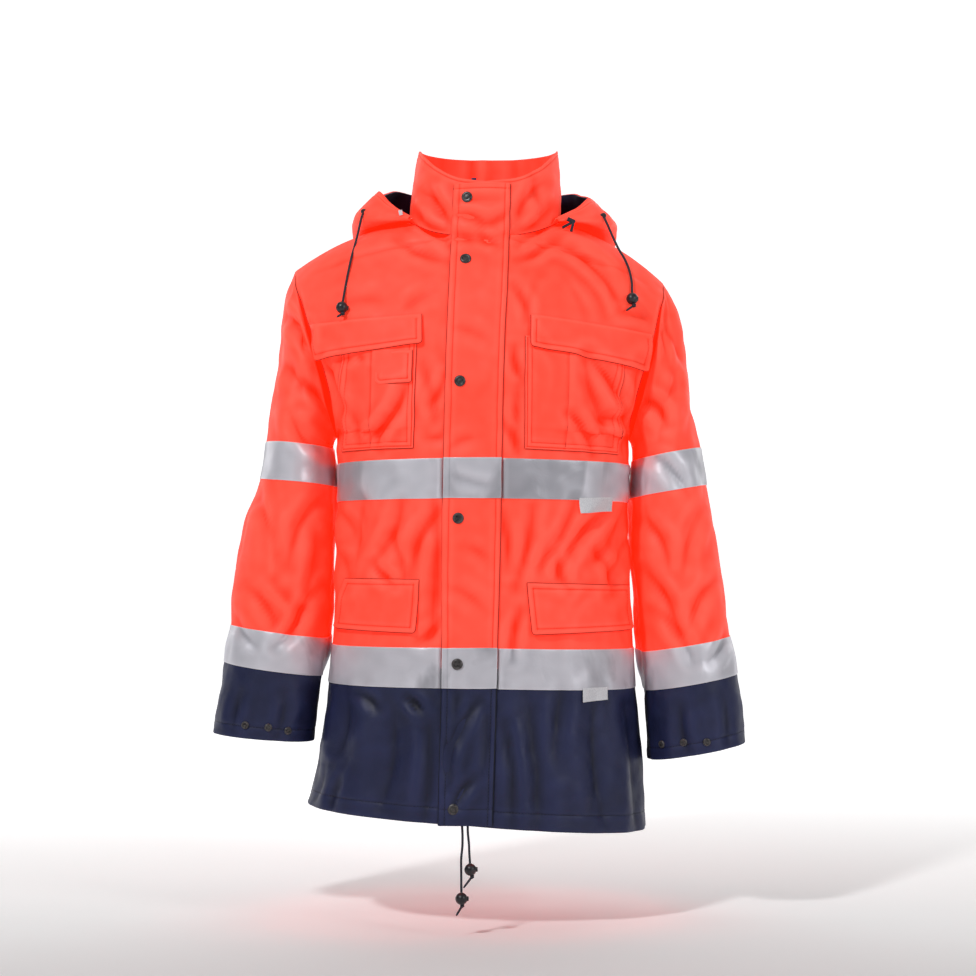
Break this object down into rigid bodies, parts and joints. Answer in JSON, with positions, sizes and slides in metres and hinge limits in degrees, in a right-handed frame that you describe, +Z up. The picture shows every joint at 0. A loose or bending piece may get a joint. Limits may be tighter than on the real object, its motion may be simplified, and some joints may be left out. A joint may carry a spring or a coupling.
{
  "type": "hi-vis work jacket",
  "caption": "Hi-vis work jacket in orange and navy, filled out as worn, with reflective tapes, storm flap, pockets, folded-down hood and drawcords.",
  "frame": {"origin": "middle of the neck opening at the height of the neck seam, where the wearer's shoulders and neck hold the jacket", "axes": "+Z up, the front faces -Y, the wearer's right is -X"},
  "size_m": [0.689, 0.3811, 0.9623],
  "materials": {
    "orange_cloth": "coated plain weave, slightly crisp",
    "navy_cloth": "coated plain weave with a soft shine",
    "reflective_tape": "silver glass-bead tape, finely creased",
    "tag_cloth": "bare woven tag",
    "black_plastic": "moulded, softly glossy",
    "black_cord": "braided"
  },
  "bodies": {
    "root": {"front_right_upper": "orange_cloth", "front_left_upper": "orange_cloth", "back_upper": "orange_cloth", "sleeve_right": "orange_cloth", "sleeve_left": "orange_cloth", "collar": "orange_cloth", "storm_flap_upper": "orange_cloth", "chest_pocket_right": "orange_cloth", "chest_pocket_left": "orange_cloth", "chest_flap_right": "orange_cloth", "chest_flap_left": "orange_cloth", "pen_flap": "orange_cloth", "lower_flap_right": "orange_cloth", "lower_flap_left": "orange_cloth", "hood_shell": "orange_cloth", "front_right_hem": "navy_cloth", "front_left_hem": "navy_cloth", "back_hem": "navy_cloth", "cuff_right": "navy_cloth", "cuff_left": "navy_cloth", "storm_flap_lower": "navy_cloth", "hood_lining": "navy_cloth", "chest_tape_right": "reflective_tape", "chest_tape_left": "reflective_tape", "chest_tape_storm_flap": "reflective_tape", "chest_tape_back": "reflective_tape", "lower_tape_right": "reflective_tape", "lower_tape_left": "reflective_tape", "lower_tape_storm_flap": "reflective_tape", "lower_tape_back": "reflective_tape", "sleeve_tape_upper_right": "reflective_tape", "sleeve_tape_upper_left": "reflective_tape", "sleeve_tape_lower_right": "reflective_tape", "sleeve_tape_lower_left": "reflective_tape", "tag_chest": "tag_cloth", "tag_hem": "tag_cloth", "snap_front_1": "black_plastic", "snap_front_2": "black_plastic", "snap_front_3": "black_plastic", "snap_front_4": "black_plastic", "snap_front_5": "black_plastic", "snap_front_6": "black_plastic", "snap_cuff_right_1": "black_plastic", "snap_cuff_right_2": "black_plastic", "snap_cuff_right_3": "black_plastic", "snap_cuff_left_1": "black_plastic", "snap_cuff_left_2": "black_plastic", "snap_cuff_left_3": "black_plastic", "stopper_hood_right": "black_plastic", "stopper_hood_left": "black_plastic", "stopper_hem_right": "black_plastic", "stopper_hem_left": "black_plastic", "cord_hood_right": "black_cord", "cord_hood_left": "black_cord", "cord_hem_right": "black_cord", "cord_hem_left": "black_cord"}
  },
  "joints": []
}
